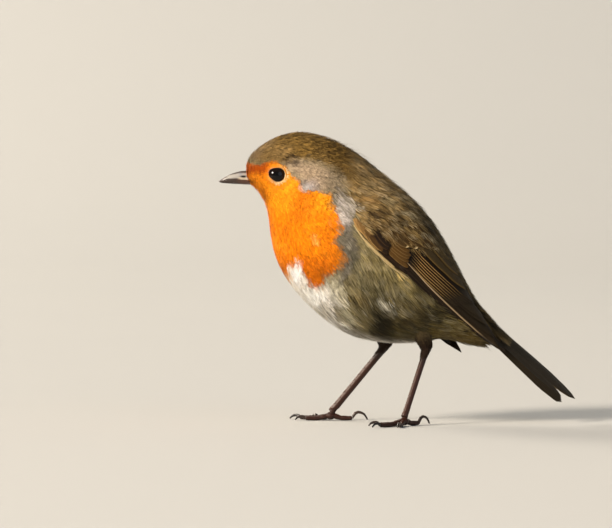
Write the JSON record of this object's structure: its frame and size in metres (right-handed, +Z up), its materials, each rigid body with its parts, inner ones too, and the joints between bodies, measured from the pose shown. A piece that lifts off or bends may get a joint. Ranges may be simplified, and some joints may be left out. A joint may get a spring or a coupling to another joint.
{
  "type": "robin",
  "caption": "life-size standing robin with a round body, short pointed bill, folded wings, a straight tail held low and thin legs with splayed toes",
  "frame": {"origin": "middle of the bounding box, on the floor under the toes", "axes": "the bird looks along -X, its left side is the -Y side, +Z is up"},
  "size_m": [0.1152, 0.054, 0.0944],
  "materials": {
    "plumage": "soft body feathers, orange on the face and breast, olive brown above and off-white below",
    "flight_feathers": "smooth vaned feathers, dark brown with buff edges",
    "bill": "polished dark horn",
    "eye": "wet gloss, dark brown",
    "leg": "scaled skin, reddish brown",
    "claw": "dark horn"
  },
  "bodies": {
    "root": {"head": "plumage", "neck": "plumage", "trunk": "plumage", "rump": "plumage", "thigh_left": "plumage", "thigh_right": "plumage", "wing_left": "flight_feathers", "wing_right": "flight_feathers", "tail": "flight_feathers", "bill_upper": "bill", "bill_lower": "bill", "eye_left": "eye", "eye_right": "eye", "shank_left": "leg", "shank_right": "leg", "foot_left": "leg", "foot_right": "leg", "claw_hind_left": "claw", "claw_inner_left": "claw", "claw_middle_left": "claw", "claw_outer_left": "claw", "claw_hind_right": "claw", "claw_inner_right": "claw", "claw_middle_right": "claw", "claw_outer_right": "claw"}
  },
  "joints": []
}
